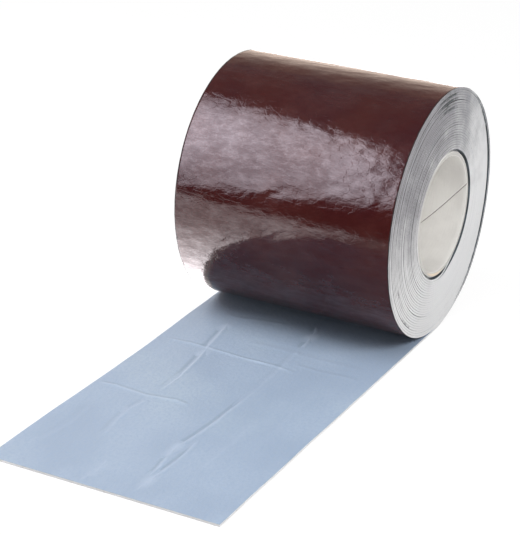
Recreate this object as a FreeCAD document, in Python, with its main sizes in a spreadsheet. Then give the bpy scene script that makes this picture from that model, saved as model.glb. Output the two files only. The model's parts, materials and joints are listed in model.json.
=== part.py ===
"""Roll of self-adhesive bitumen flashing tape, standing on its own unrolled tail.

The tape is a strip of bitumen compound with a lacquered aluminium face, wound face outwards
on a paperboard core. Its sticky side is covered by a release film. The last stretch is
unrolled and lies flat on the floor, film side up, and the roll rests on it.

Frame, in millimetres: +X along the roll's axis, towards the end where the winding has
crept outwards; the tail lies towards -Y; +Z is up. The origin is on the axis, at the middle
of the tape's width, and the floor is one roll radius below it.
"""

import FreeCAD
import Part
import Sketcher

import os

# Driving dimensions: alias, value in millimetres (or a count), what it is.
SIZES = [
    ("tape_width", 150.0, "width of the strip, and of the roll"),
    ("tape_thickness", 1.42, "bitumen compound with its foil face"),
    ("film_thickness", 0.08, "release film on the sticky side"),
    ("tail_length", 290.0, "unrolled stretch, from under the axis to its cut end"),
    ("turn_count", 26, "turns on the core"),
    ("turn_pitch", 1.6, "tape, film and the air wound in with them"),
    ("core_bore", 76.0, "inside diameter of the paperboard tube"),
    ("core_wall", 3.0, "wall of the paperboard tube"),
    ("core_length", 150.0, "length of the paperboard tube"),
    ("core_recess", 1.0, "how far the tube's +X end lies behind the furthest turn"),
    ("core_edge_break", 0.4, "chamfer on the tube's four rims"),
    ("creep", 2.5, "how far the turns nearest the core stand out of the +X end"),
    ("start_recess", 3.5, "how far the first turn, on the core, lies behind the next"),
    ("flush_turns", 3, "outermost turns that have not crept"),
    ("seam_width", 0.3, "line between two turns, as it shows on the ends"),
    ("seam_depth", 0.6, "how deep that line goes"),
]
OPEN_SIDE = 1.0  # how far a cutting profile runs out past the material

# Lengths that follow from the driving dimensions, as expressions on the sheet.
CORE_RADIUS = "(Sizes.core_bore / 2 + Sizes.core_wall)"
CREPT_RADIUS = f"({CORE_RADIUS} + Sizes.turn_pitch)"
ROLL_RADIUS = f"({CORE_RADIUS} + Sizes.turn_count * Sizes.turn_pitch)"
FLUSH_RADIUS = f"({ROLL_RADIUS} - Sizes.flush_turns * Sizes.turn_pitch)"
HALF_WIDTH = "(Sizes.tape_width / 2)"
ARC_STEP = "((Sizes.tape_thickness + Sizes.film_thickness) / 4)"

# Sketcher's own numbers: the two axes and the origin, and the points of a line or an arc.
H_AXIS, V_AXIS, ORIGIN = -1, -2, (-1, 1)
START, END, CENTRE = 1, 2, 3


def size_sheet(doc):
    """The spreadsheet that drives the whole document."""
    sheet = doc.addObject("Spreadsheet::Sheet", "Sizes")
    for row, (alias, value, meaning) in enumerate(SIZES, start=1):
        sheet.set(f"A{row}", alias)
        sheet.set(f"B{row}", str(value))
        sheet.setAlias(f"B{row}", alias)
        sheet.set(f"C{row}", meaning)
    doc.recompute()
    return sheet


def derived(sheet):
    """The same radii as numbers, to place a sketch's geometry before it is solved.

    They are the core's, the first turn's outside, the outermost crept turn's, and the roll's.
    """
    core_radius = sheet.core_bore / 2 + sheet.core_wall
    roll_radius = core_radius + sheet.turn_count * sheet.turn_pitch
    flush_radius = roll_radius - sheet.flush_turns * sheet.turn_pitch
    return core_radius, core_radius + sheet.turn_pitch, flush_radius, roll_radius


def new_body(doc, label):
    """A PartDesign body whose label names the sub-part."""
    body = doc.addObject("PartDesign::Body", label)
    body.Label = label
    return body


def new_sketch(body, name, plane):
    """An empty sketch on one of the body's own origin planes."""
    sketch = body.newObject("Sketcher::SketchObject", name)
    support = next(f for f in body.Origin.OriginFeatures if f.Role == plane)
    sketch.AttachmentSupport = (support, "")
    sketch.MapMode = "FlatFace"
    return sketch


def bind(sketch, name, expression, *constraint):
    """Adds a dimension to a sketch and ties it to the sheet."""
    index = sketch.addConstraint(Sketcher.Constraint(*constraint))
    sketch.renameConstraint(index, name)
    sketch.setExpression(f"Constraints.{name}", expression)


def add_loop(sketch, corners):
    """A closed outline of straight lines, level and upright ones held so. Returns their indices."""
    points = [FreeCAD.Vector(x, y, 0) for x, y in corners]
    lines = [
        sketch.addGeometry(Part.LineSegment(a, b))
        for a, b in zip(points, points[1:] + points[:1])
    ]
    rules = []
    for line, following in zip(lines, lines[1:] + lines[:1]):
        rules.append(Sketcher.Constraint("Coincident", line, END, following, START))
    for line, a, b in zip(lines, points, points[1:] + points[:1]):
        if a.x == b.x:
            rules.append(Sketcher.Constraint("Vertical", line))
        elif a.y == b.y:
            rules.append(Sketcher.Constraint("Horizontal", line))
    sketch.addConstraint(rules)
    return lines


def revolve(body, kind, name, sketch):
    """A full turn of a sketch about the roll's axis: kind is Revolution or Groove."""
    feature = body.newObject(f"PartDesign::{kind}", name)
    feature.Profile = sketch
    feature.ReferenceAxis = (sketch, ["H_Axis"])
    feature.Angle = 360.0
    sketch.Visibility = False
    return feature


def winding_section(body, sheet):
    """The strip seen along the axis: all the turns but the first, and the tail on the floor.

    The outside of the last turn is a spiral of four quarter arcs. Each is smaller than the
    one before by a quarter of the strip's thickness and touches it without a corner, so the
    turn that comes down in front lands on top of the tail.
    """
    _, crept_radius, _, roll_radius = derived(sheet)
    step = (sheet.tape_thickness + sheet.film_thickness) / 4
    film, tape, tail = sheet.film_thickness, sheet.tape_thickness, sheet.tail_length
    sketch = new_sketch(body, "WindingSection", "YZ_Plane")
    up = FreeCAD.Vector(0, 0, 1)
    quarter = FreeCAD.Units.parseQuantity("90 deg").getValueAs("rad").Value

    centres = [(0, 0), (step, 0), (step, step), (0, step)]
    arcs = []
    for number, (y, z) in enumerate(centres):
        circle = Part.Circle(FreeCAD.Vector(y, z, 0), up, roll_radius - number * step)
        first = (number - 1) * quarter
        arcs.append(sketch.addGeometry(Part.ArcOfCircle(circle, first, first + quarter)))
    floor = -roll_radius
    corners = [
        (0, floor + tape + film),
        (0, floor + tape),
        (-tail, floor + tape),
        (-tail, floor),
        (0, floor),
    ]
    ends = [FreeCAD.Vector(y, z, 0) for y, z in corners]
    lip, top, cut, under = [
        sketch.addGeometry(Part.LineSegment(a, b)) for a, b in zip(ends, ends[1:])
    ]
    bore = sketch.addGeometry(Part.Circle(FreeCAD.Vector(0, 0, 0), up, crept_radius))

    chain = [*arcs, lip, top, cut, under]
    rules = [
        Sketcher.Constraint("Coincident", piece, END, following, START)
        for piece, following in zip(chain, chain[1:] + chain[:1])
    ]
    rules += [
        Sketcher.Constraint("Coincident", arcs[0], CENTRE, *ORIGIN),
        Sketcher.Constraint("PointOnObject", arcs[1], CENTRE, H_AXIS),
        Sketcher.Constraint("Vertical", arcs[1], CENTRE, arcs[2], CENTRE),
        Sketcher.Constraint("Horizontal", arcs[2], CENTRE, arcs[3], CENTRE),
        Sketcher.Constraint("PointOnObject", arcs[3], CENTRE, V_AXIS),
        Sketcher.Constraint("PointOnObject", arcs[0], START, V_AXIS),
        Sketcher.Constraint("PointOnObject", arcs[0], END, H_AXIS),
        Sketcher.Constraint("Vertical", arcs[1], END, arcs[1], CENTRE),
        Sketcher.Constraint("Horizontal", arcs[2], END, arcs[2], CENTRE),
        Sketcher.Constraint("PointOnObject", arcs[3], END, V_AXIS),
        Sketcher.Constraint("Vertical", lip),
        Sketcher.Constraint("Horizontal", top),
        Sketcher.Constraint("Vertical", cut),
        Sketcher.Constraint("Horizontal", under),
        Sketcher.Constraint("Coincident", bore, CENTRE, *ORIGIN),
    ]
    sketch.addConstraint(rules)
    bind(sketch, "roll_radius", ROLL_RADIUS, "Radius", arcs[0], roll_radius)
    bind(sketch, "step_back", ARC_STEP, "DistanceX", *ORIGIN, arcs[1], CENTRE, step)
    bind(sketch, "step_up", ARC_STEP, "DistanceY", arcs[1], CENTRE, arcs[2], CENTRE, step)
    bind(sketch, "tape", "Sizes.tape_thickness", "DistanceY", cut, END, cut, START, tape)
    bind(sketch, "tail", "Sizes.tail_length", "DistanceX", under, START, under, END, tail)
    bind(sketch, "crept_radius", CREPT_RADIUS, "Radius", bore, crept_radius)
    return sketch


def ring_section(body, name, radii, right_end, length):
    """A tube's wall, as a rectangle beside the axis.

    radii and length are each a pair of a number and its expression, inner radius before outer;
    right_end is the same for the tube's +X end.
    """
    (inner, inner_rule), (outer, outer_rule) = radii
    (end, end_rule), (span, span_rule) = right_end, length
    sketch = new_sketch(body, name, "XZ_Plane")
    low, right, _, _ = add_loop(
        sketch, [(end - span, inner), (end, inner), (end, outer), (end - span, outer)]
    )
    wall = f"{outer_rule} - {inner_rule}"
    bind(sketch, "end", end_rule, "DistanceX", *ORIGIN, right, START, end)
    bind(sketch, "length", span_rule, "DistanceX", low, START, low, END, span)
    bind(sketch, "inner", inner_rule, "DistanceY", *ORIGIN, low, START, inner)
    bind(sketch, "wall", wall, "DistanceY", right, START, right, END, outer - inner)
    return sketch


def first_turn_section(body, sheet):
    """The first turn, wound straight on the core and not crept as far as the next."""
    core_radius, crept_radius, _, _ = derived(sheet)
    width = sheet.tape_width
    end = width / 2 + sheet.creep - sheet.start_recess
    end_rule = f"{HALF_WIDTH} + Sizes.creep - Sizes.start_recess"
    radii = ((core_radius, CORE_RADIUS), (crept_radius, CREPT_RADIUS))
    length = (width, "Sizes.tape_width")
    return ring_section(body, "FirstTurn", radii, (end, end_rule), length)


def creep_section(body, sheet, side):
    """Triangle between a flat end and the cone that the crept turns make of it.

    side is 1 for the +X end, where they stand out, and -1 for the other, which is dished.
    """
    _, crept_radius, flush_radius, _ = derived(sheet)
    half, creep = sheet.tape_width / 2, sheet.creep
    name = "CreepOut" if side > 0 else "CreepIn"
    sketch = new_sketch(body, name, "XZ_Plane")
    face = side * half
    inner, slope, flat = add_loop(
        sketch,
        [(face, crept_radius), (face + creep, crept_radius), (face, flush_radius)],
    )
    first, second = (ORIGIN, (flat, END)) if side > 0 else ((flat, END), ORIGIN)
    bind(sketch, "face", HALF_WIDTH, "DistanceX", *first, *second, half)
    bind(sketch, "creep", "Sizes.creep", "DistanceX", inner, START, inner, END, creep)
    bind(sketch, "inner", CREPT_RADIUS, "DistanceY", *ORIGIN, inner, START, crept_radius)
    bind(sketch, "flush", FLUSH_RADIUS, "DistanceY", *ORIGIN, slope, END, flush_radius)
    return sketch


def seam_section(body, sheet, side):
    """The lines between the turns on one end, as slots cut into the sloping face.

    The first turn needs none, as it lies back by itself. The two outermost have none between
    them: there the spiral's outside wanders across the place where the slot would be.
    """
    core_radius, crept_radius, flush_radius, _ = derived(sheet)
    half, creep = sheet.tape_width / 2, sheet.creep
    width, depth = sheet.seam_width, sheet.seam_depth
    sketch = new_sketch(body, "SeamsOut" if side > 0 else "SeamsIn", "XZ_Plane")
    outside = side * half + (creep + OPEN_SIDE if side > 0 else -OPEN_SIDE)
    for turn in range(2, int(sheet.turn_count) - 1):
        radius = core_radius + turn * sheet.turn_pitch
        sloping = radius < flush_radius
        share = (flush_radius - radius) / (flush_radius - crept_radius) if sloping else 0
        bottom = side * (half - depth) + creep * share
        near, far = sorted((bottom, outside))
        low, right, _, left = add_loop(
            sketch,
            [
                (near, radius - width / 2),
                (far, radius - width / 2),
                (far, radius + width / 2),
                (near, radius + width / 2),
            ],
        )
        seat = f"({CORE_RADIUS} + {turn} * Sizes.turn_pitch)"
        crept = f"({FLUSH_RADIUS} - {seat}) / ({FLUSH_RADIUS} - {CREPT_RADIUS})"
        rise = f"Sizes.creep * {crept}" if sloping else "0"
        if side > 0:
            inward = f"{HALF_WIDTH} - Sizes.seam_depth + {rise}"
            outward = f"{HALF_WIDTH} + Sizes.creep + {OPEN_SIDE}"
            spans = ((f"{inward}", left, ORIGIN), (f"{outward}", right, ORIGIN))
            for word, (expression, line, start) in zip(("bottom", "mouth"), spans):
                x = near if line == left else far
                bind(sketch, f"{word}{turn}", expression, "DistanceX", *start, line, START, x)
        else:
            inward = f"{HALF_WIDTH} - Sizes.seam_depth - {rise}"
            outward = f"{HALF_WIDTH} + {OPEN_SIDE}"
            spans = ((f"{inward}", right), (f"{outward}", left))
            for word, (expression, line) in zip(("bottom", "mouth"), spans):
                x = -far if line == right else -near
                bind(sketch, f"{word}{turn}", expression, "DistanceX", line, START, *ORIGIN, x)
        lower = f"{seat} - Sizes.seam_width / 2"
        bind(sketch, f"seat{turn}", lower, "DistanceY", *ORIGIN, low, START, radius - width / 2)
        bind(sketch, f"width{turn}", "Sizes.seam_width", "DistanceY", right, START, right, END, width)
    return sketch


def make_tape(doc, sheet):
    """The strip: one solid of the wound turns and the tail, with the turns marked on its ends."""
    body = new_body(doc, "tape")
    section = winding_section(body, sheet)
    pad = body.newObject("PartDesign::Pad", "Winding")
    pad.Profile = section
    pad.setExpression("Length", "Sizes.tape_width")
    pad.SideType = "Symmetric"
    section.Visibility = False
    doc.recompute()
    hollow = pad.Shape.Volume
    first_turn = revolve(body, "Revolution", "FirstTurnOnCore", first_turn_section(body, sheet))
    doc.recompute()
    plain = first_turn.Shape.Volume
    crept_out = revolve(body, "Revolution", "CreptEnd", creep_section(body, sheet, 1))
    doc.recompute()
    grown = crept_out.Shape.Volume
    crept_in = revolve(body, "Groove", "DishedEnd", creep_section(body, sheet, -1))
    doc.recompute()
    dished = crept_in.Shape.Volume
    seams_out = revolve(body, "Groove", "TurnSeamsOut", seam_section(body, sheet, 1))
    doc.recompute()
    cut_once = seams_out.Shape.Volume
    seams_in = revolve(body, "Groove", "TurnSeamsIn", seam_section(body, sheet, -1))
    doc.recompute()
    cut_twice = seams_in.Shape.Volume
    if not hollow < plain < grown > dished > cut_once > cut_twice:
        raise RuntimeError("a feature of the tape added or cut nothing")
    if abs(dished - plain) > 1e-6 * plain:
        raise RuntimeError("the turns that crept out of one end do not leave the other")
    return body


def make_core(doc, sheet):
    """The paperboard tube. Its +X end stays just behind the turns that crept furthest."""
    core_radius, _, _, _ = derived(sheet)
    end = sheet.tape_width / 2 + sheet.creep - sheet.core_recess
    end_rule = f"{HALF_WIDTH} + Sizes.creep - Sizes.core_recess"
    radii = ((sheet.core_bore / 2, "Sizes.core_bore / 2"), (core_radius, CORE_RADIUS))
    length = (sheet.core_length, "Sizes.core_length")
    body = new_body(doc, "core")
    sketch = ring_section(body, "TubeWall", radii, (end, end_rule), length)
    tube = revolve(body, "Revolution", "Tube", sketch)
    doc.recompute()
    rims = [
        f"Edge{number}"
        for number, edge in enumerate(tube.Shape.Edges, start=1)
        if isinstance(edge.Curve, Part.Circle)
    ]
    breaks = body.newObject("PartDesign::Chamfer", "RimBreaks")
    breaks.Base = (tube, rims)
    breaks.setExpression("Size", "Sizes.core_edge_break")
    doc.recompute()
    return body


def make_release_film(doc):
    """The release film where it shows: on the tail, as long and as wide as the strip."""
    film = doc.addObject("Part::Box", "release_film")
    film.Label = "release_film"
    film.setExpression("Length", "Sizes.tape_width")
    film.setExpression("Width", "Sizes.tail_length")
    film.setExpression("Height", "Sizes.film_thickness")
    film.setExpression("Placement.Base.x", f"-{HALF_WIDTH}")
    film.setExpression("Placement.Base.y", "-Sizes.tail_length")
    film.setExpression("Placement.Base.z", f"Sizes.tape_thickness - {ROLL_RADIUS}")
    doc.recompute()
    return film


def check(doc, parts):
    """Stops if any object failed to build, or a sub-part is not one valid solid."""
    for item in doc.Objects:
        if "Invalid" in item.State or "Error" in item.State:
            raise RuntimeError(f"{item.Name} did not build: {item.State}")
    for part in parts:
        shape = part.Shape
        if shape.isNull() or not shape.isValid() or len(shape.Solids) != 1:
            raise RuntimeError(f"{part.Label} is not one valid solid")


def main():
    """Builds the document and writes one STEP file for each sub-part."""
    doc = FreeCAD.newDocument("FlashingTapeRoll")
    sheet = size_sheet(doc)
    parts = [make_tape(doc, sheet), make_core(doc, sheet), make_release_film(doc)]
    doc.recompute()
    check(doc, parts)
    os.makedirs("parts", exist_ok=True)
    for part in parts:
        part.Shape.exportStep(f"parts/{part.Label}.step")
        box = part.Shape.BoundBox
        print(
            f"{part.Label}: {part.Shape.Volume / 1000:.2f} cm3, "
            f"x {box.XMin:.2f}..{box.XMax:.2f}, y {box.YMin:.2f}..{box.YMax:.2f}, "
            f"z {box.ZMin:.2f}..{box.ZMax:.2f}"
        )


main()
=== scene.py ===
"""Looks of a roll of bitumen flashing tape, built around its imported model.

The strip is wound foil side out on a paperboard core. Its last stretch lies unrolled on the
floor, foil side down, under the release film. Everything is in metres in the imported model's
frame: +X along the roll's axis, the tail towards -Y, +Z up.
"""

import json
import logging
import math
import random
from dataclasses import dataclass, field
from enum import Enum
from itertools import accumulate
from typing import Any, Callable, Sequence

import bmesh
import bpy
from mathutils import Matrix, Vector, noise


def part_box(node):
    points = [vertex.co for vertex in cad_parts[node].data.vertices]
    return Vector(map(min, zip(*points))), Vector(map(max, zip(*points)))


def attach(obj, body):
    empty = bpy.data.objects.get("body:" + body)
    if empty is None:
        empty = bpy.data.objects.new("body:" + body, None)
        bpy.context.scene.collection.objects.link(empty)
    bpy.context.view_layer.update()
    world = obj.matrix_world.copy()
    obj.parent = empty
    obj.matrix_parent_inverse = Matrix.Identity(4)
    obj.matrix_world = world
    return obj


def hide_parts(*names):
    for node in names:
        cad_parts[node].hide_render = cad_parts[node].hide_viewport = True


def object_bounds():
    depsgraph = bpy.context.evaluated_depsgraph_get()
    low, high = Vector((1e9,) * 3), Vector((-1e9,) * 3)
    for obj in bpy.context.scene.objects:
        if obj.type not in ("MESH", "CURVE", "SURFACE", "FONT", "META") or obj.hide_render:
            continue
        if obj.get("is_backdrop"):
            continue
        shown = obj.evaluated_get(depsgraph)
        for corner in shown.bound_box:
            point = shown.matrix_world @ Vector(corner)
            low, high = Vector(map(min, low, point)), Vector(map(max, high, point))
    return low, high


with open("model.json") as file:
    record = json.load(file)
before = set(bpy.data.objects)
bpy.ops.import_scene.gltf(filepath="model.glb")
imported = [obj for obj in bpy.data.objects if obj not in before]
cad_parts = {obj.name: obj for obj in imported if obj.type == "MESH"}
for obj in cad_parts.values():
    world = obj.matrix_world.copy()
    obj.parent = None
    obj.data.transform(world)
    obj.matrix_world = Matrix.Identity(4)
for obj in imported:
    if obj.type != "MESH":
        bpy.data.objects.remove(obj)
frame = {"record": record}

LOG = logging.getLogger("flashing_tape")
MM = 0.001
CAD_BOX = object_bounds()

Colour = tuple[float, float, float]
Triple = tuple[float, float, float]
Point = tuple[float, float]

STRIP_MAP = "strip"  # the UV map that follows a strip, in metres
DEPTH = "depth"  # 0 on the foil face of a strip, 1 on its film face
BITUMEN_AND_SHADE = "grime"  # how dark a cut edge is painted: bare bitumen, and painted shade on the outer turns round the back
FOLD = "fold"  # above 0 on the ridge of a crease in the film, below 0 in its valley
SEAM = "seam"  # 1 along the joint between two plies of the tube
RIM = "rim"  # 1 on the cut ends of the tube


# ---------------------------------------------------------------- shader building


class Signal:
    """A number inside a material's nodes that takes part in Python arithmetic."""

    def __init__(self, net: "ShaderNet", socket: bpy.types.NodeSocket) -> None:
        """Wraps a socket.

        Args:
            net: The nodes that the socket belongs to.
            socket: The output that carries the number.
        """
        self.net = net
        self.socket = socket

    def math(self, operation: str, *others: Any) -> "Signal":
        """Adds a Math node with this number as its first input, and gives its result."""
        return self.net.math(operation, self, *others)

    def __add__(self, other: Any) -> "Signal":
        """This plus other."""
        return self.math("ADD", other)

    def __sub__(self, other: Any) -> "Signal":
        """This minus other."""
        return self.math("SUBTRACT", other)

    def __rsub__(self, other: Any) -> "Signal":
        """Other minus this."""
        return self.net.math("SUBTRACT", other, self)

    def __mul__(self, other: Any) -> "Signal":
        """This times other."""
        return self.math("MULTIPLY", other)

    __radd__ = __add__
    __rmul__ = __mul__

    def clamped(self) -> "Signal":
        """This, held between 0 and 1."""
        return self.math("MINIMUM", 1.0).math("MAXIMUM", 0.0)

    def ramp(self, low: float, high: float) -> "Signal":
        """A smooth step over this number.

        Args:
            low: Where the result is 0.
            high: Where the result is 1; it may be less than low.

        Returns:
            The step, from 0 to 1.
        """
        inputs = {"Value": self, "From Min": low, "From Max": high}
        made = self.net.node("ShaderNodeMapRange", {"interpolation_type": "SMOOTHSTEP"}, inputs)
        return self.net.signal(made, "Result")


class ShaderNet:
    """The node tree of a material or of the world."""

    def __init__(self, owner: bpy.types.Material | bpy.types.World) -> None:
        """Starts from the owner's first nodes.

        Args:
            owner: The material or world, new.
        """
        self.owner = owner
        owner.use_nodes = True
        self.tree = owner.node_tree

    @classmethod
    def named(cls, name: str) -> "ShaderNet":
        """Starts a new material and gives its nodes."""
        return cls(bpy.data.materials.new(name))

    def node(self, kind: str, settings: dict[str, Any], inputs: dict[Any, Any]) -> bpy.types.Node:
        """Adds one node.

        Args:
            kind: The node's type.
            settings: Attributes set first; "stops" fills a colour ramp.
            inputs: Values, signals or sockets by the name or number of the input.

        Returns:
            The new node.
        """
        made = self.tree.nodes.new(kind)
        for key, value in settings.items():
            if key == "stops":
                self._fill_ramp(made, value)
            else:
                setattr(made, key, value)
        for key, value in inputs.items():
            self.feed(made.inputs[key], value)
        return made

    @staticmethod
    def _fill_ramp(made: bpy.types.Node, stops: Sequence[tuple[float, Colour]]) -> None:
        """Sets a colour ramp's stops.

        Args:
            made: The colour ramp node.
            stops: Each stop's place and colour.
        """
        elements = made.color_ramp.elements
        while len(elements) < len(stops):
            elements.new(1.0)
        for element, (place, colour) in zip(elements, stops):
            element.position = place
            element.color = (*colour, 1.0)

    def feed(self, target: bpy.types.NodeSocket, value: Any) -> None:
        """Links or sets one input.

        Args:
            target: The input.
            value: A signal, a socket, or a constant.
        """
        if isinstance(value, Signal):
            self.tree.links.new(value.socket, target)
        elif isinstance(value, bpy.types.NodeSocket):
            self.tree.links.new(value, target)
        elif isinstance(value, tuple) and target.type == "RGBA" and len(value) == 3:
            target.default_value = (*value, 1.0)
        else:
            target.default_value = value

    def signal(self, made: bpy.types.Node, output: Any = 0) -> Signal:
        """Wraps one output of a node, by name or number."""
        return Signal(self, made.outputs[output])

    def attribute(self, name: str) -> Signal:
        """Reads one of the mesh's own attributes."""
        made = self.node("ShaderNodeAttribute", {"attribute_name": name}, {})
        return self.signal(made, "Fac")

    def math(self, operation: str, *values: Any) -> Signal:
        """Adds a Math node with its inputs in order, and gives its result."""
        made = self.node("ShaderNodeMath", {"operation": operation}, dict(enumerate(values)))
        return self.signal(made)

    def place(self) -> bpy.types.NodeSocket:
        """The piece's own Object coordinates, in metres."""
        return self.node("ShaderNodeTexCoord", {}, {}).outputs["Object"]

    def flat(self, stretch: Point = (1.0, 1.0), turn: float = 0.0) -> bpy.types.NodeSocket:
        """The strip's own map, in metres along and across it, stretched and turned.

        Args:
            stretch: Scale along the strip and across it.
            turn: Turn in the strip's plane, in degrees.

        Returns:
            The coordinates.
        """
        source = self.node("ShaderNodeUVMap", {"uv_map": STRIP_MAP}, {}).outputs[0]
        turned = (0.0, 0.0, math.radians(turn))
        inputs = {"Vector": source, "Scale": (*stretch, 1.0), "Rotation": turned}
        return self.node("ShaderNodeMapping", {}, inputs).outputs[0]

    def across(self) -> Signal:
        """Measures the distance from the strip's middle line.

        Returns:
            The distance, in metres.
        """
        source = self.node("ShaderNodeUVMap", {"uv_map": STRIP_MAP}, {}).outputs[0]
        split = self.node("ShaderNodeSeparateXYZ", {}, {0: source})
        return self.signal(split, "Y").math("ABSOLUTE")

    def noise(self, where: Any, scale: float, detail: float = 3.0, rough: float = 0.5) -> Signal:
        """A cloudy pattern, about 0.5 on average, with scale cells to a metre."""
        inputs = {"Vector": where, "Scale": scale, "Detail": detail, "Roughness": rough}
        return self.signal(self.node("ShaderNodeTexNoise", {}, inputs), 0)

    def creases(self, where: Any, scale: float, warp: float = 0.0) -> Signal:
        """Sharp lines between cells, as in crumpled foil.

        Args:
            where: The coordinates.
            scale: Cells in a unit of the coordinates.
            warp: How far the lines are pulled about.

        Returns:
            Distance to the nearest line.
        """
        if warp:
            cloud = self.node("ShaderNodeTexNoise", {}, {"Vector": where, "Scale": scale * 0.6})
            inputs = {0: cloud.outputs["Color"], 1: (warp, warp, warp), 2: where}
            made = self.node("ShaderNodeVectorMath", {"operation": "MULTIPLY_ADD"}, inputs)
            where = made.outputs[0]
        inputs = {"Vector": where, "Scale": scale}
        made = self.node("ShaderNodeTexVoronoi", {"feature": "DISTANCE_TO_EDGE"}, inputs)
        return self.signal(made, "Distance")

    def mix(self, share: Any, first: Any, second: Any) -> bpy.types.NodeSocket:
        """Blends two colours.

        Args:
            share: How much of the second, 0 to 1.
            first: A colour or a colour socket.
            second: A colour or a colour socket.

        Returns:
            The blend.
        """
        made = self.node("ShaderNodeMix", {"data_type": "RGBA"}, {0: share})
        self.feed(made.inputs[6], first)
        self.feed(made.inputs[7], second)
        return made.outputs[2]

    def bump(self, height: Signal, depth: float, below: Any = None) -> bpy.types.NodeSocket:
        """Turns a height into a normal.

        Args:
            height: The height, 0 to 1.
            depth: How high 1 is, in metres.
            below: A normal that this one is laid on.

        Returns:
            The normal.
        """
        inputs = {"Height": height, "Distance": depth, "Strength": 1.0}
        if below is not None:
            inputs["Normal"] = below
        return self.node("ShaderNodeBump", {}, inputs).outputs[0]

    def surface(self, **inputs: Any) -> bpy.types.Material:
        """Sets the Principled shader's inputs.

        Args:
            inputs: Values or links by input name, with _ for each space.

        Returns:
            The finished material.
        """
        shader = self.tree.nodes["Principled BSDF"]
        for key, value in inputs.items():
            self.feed(shader.inputs[key.replace("_", " ")], value)
        return self.owner

    def show(self, shader: bpy.types.NodeSocket) -> bpy.types.Material:
        """Makes a shader the material's surface, and gives the finished material."""
        self.feed(self.tree.nodes["Material Output"].inputs["Surface"], shader)
        return self.owner


# ---------------------------------------------------------------- finishes


@dataclass(frozen=True)
class FoilFinish:
    """Lacquered aluminium foil: deep red-brown under a clear gloss, finely creased."""

    red: Colour = (0.035, 0.0050, 0.0068)
    brown: Colour = (0.046, 0.0088, 0.0080)
    dust: Colour = (0.15, 0.050, 0.040)
    scuffed: Colour = (0.16, 0.08, 0.075)
    compound: Colour = (0.012, 0.011, 0.012)
    half_width: float = 0.075
    streak_depth: float = 0.170 * MM
    pucker_depth: float = 0.040 * MM
    grain_depth: float = 0.006 * MM

    def build(self) -> bpy.types.Material:
        """Makes the material.

        Returns:
            The material.
        """
        net = ShaderNet.named("lacquered_foil")
        broad = net.noise(net.flat(), 22.0, 4.0)
        streak = net.noise(net.flat((2.6, 1.0), 14.0), 70.0, 4.0, 0.6)
        fine = net.noise(net.flat(), 900.0, 3.0, 0.6)
        crumple = net.creases(net.flat((1.7, 1.0), 20.0), 150.0, 0.004)
        colour = net.mix(broad.ramp(0.35, 0.65), self.red, self.brown)
        colour = net.mix(streak.ramp(0.62, 0.80) * 0.12, colour, self.scuffed)
        edge = net.across() + (net.noise(net.flat(), 160.0, 4.0, 0.6) - 0.5) * 0.0022
        rim = edge.ramp(self.half_width - 0.0009, self.half_width - 0.0005)
        colour = net.mix(rim, colour, self.compound)
        dust = net.noise(net.flat((1.2, 1.0), 30.0), 30.0, 6.0, 0.68)
        colour = net.mix(dust.ramp(0.46, 0.72) * 0.14, colour, self.dust)
        haze = net.noise(net.flat((2.2, 1.0), 24.0), 70.0, 7.0, 0.74)
        thread = net.noise(net.flat((3.4, 1.0), -12.0), 60.0, 5.0, 0.6)
        thread = (thread - 0.5).math("ABSOLUTE")
        cloud = net.noise(net.flat((1.0, 1.0), 40.0), 16.0, 3.0, 0.5)
        gloss = haze.ramp(0.36, 0.68) * 0.34 + thread.ramp(0.030, 0.0) * 0.22
        gloss = gloss + cloud.ramp(0.44, 0.62) * 0.20 - 0.04
        gloss = (gloss * (1.0 - rim)).clamped()
        rough = (0.105 + (fine - 0.5) * 0.05 + (broad - 0.5) * 0.10 + rim * 0.5).clamped()
        pucker = net.noise(net.flat((1.6, 1.0), 18.0), 330.0, 4.0, 0.62)
        low = net.bump(streak, self.streak_depth)
        mid = net.bump(crumple.ramp(0.0, 0.10) * 0.45 + pucker, self.pucker_depth, low)
        normal = net.bump(fine, self.grain_depth, mid)
        return net.surface(
            Base_Color=colour,
            Roughness=rough,
            Metallic=0.0,
            IOR=1.31,
            Coat_Weight=gloss,
            Coat_Roughness=0.11,
            Coat_IOR=1.48,
            Normal=normal,
        )


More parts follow.
